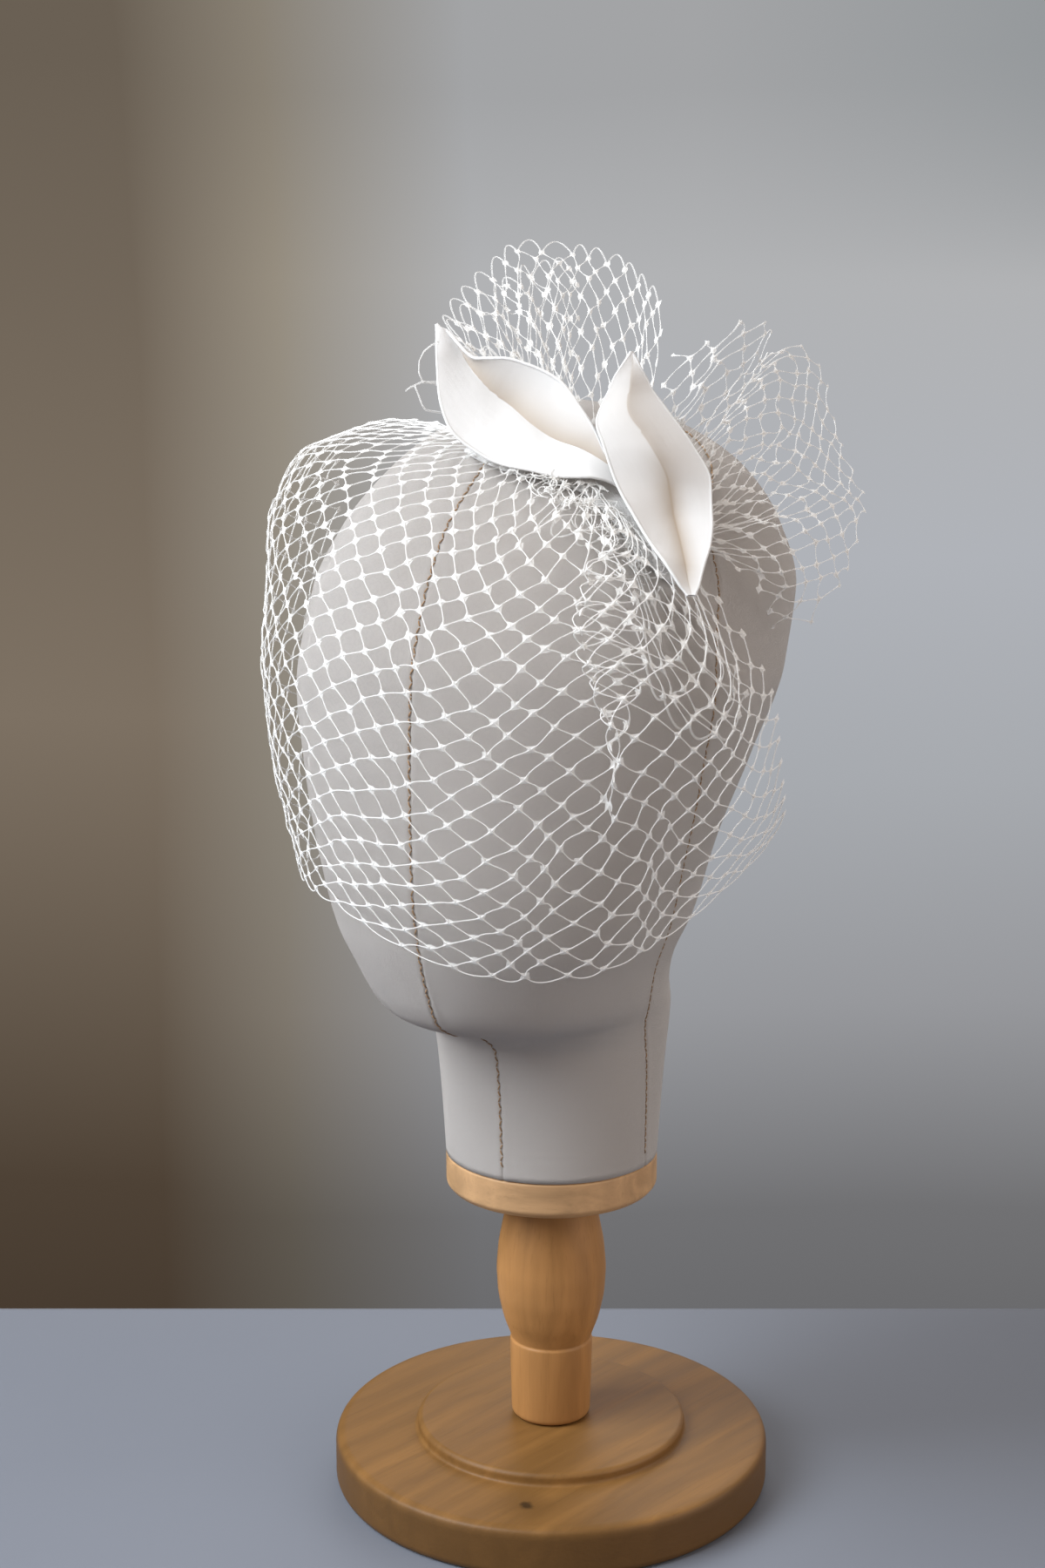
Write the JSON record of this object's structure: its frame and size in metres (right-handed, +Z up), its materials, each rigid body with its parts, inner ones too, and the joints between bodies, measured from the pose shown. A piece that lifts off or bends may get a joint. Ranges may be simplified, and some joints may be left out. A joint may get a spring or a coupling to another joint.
{
  "type": "birdcage veil on display head",
  "caption": "Short bridal veil of wide-meshed net with net ruffles and satin leaves, draped over a smooth linen display head on a turned wooden stand.",
  "frame": {"origin": "centre of the underside of the stand's round base", "axes": "+Z up; -Y is the way the head faces; +X is the wearer's left, where the trimming sits"},
  "size_m": [0.1995, 0.2032, 0.4484],
  "materials": {
    "wood": "oiled, fine streaky grain",
    "post_wood": "oiled, turned",
    "linen": "unbleached plain weave, matt",
    "pad_cloth": "matt plain cloth",
    "net": "open hexagonal and diamond veiling",
    "satin": "soft sheen satin"
  },
  "bodies": {
    "root": {"stand_base": "wood", "stand_post": "post_wood", "neck_plate": "wood", "display_head": "linen", "headpiece_base": "pad_cloth", "veil_net": "net", "veil_frill": "net", "ruffle_top": "net", "ruffle_side": "net", "leaf_left": "satin", "leaf_right": "satin"}
  },
  "joints": []
}
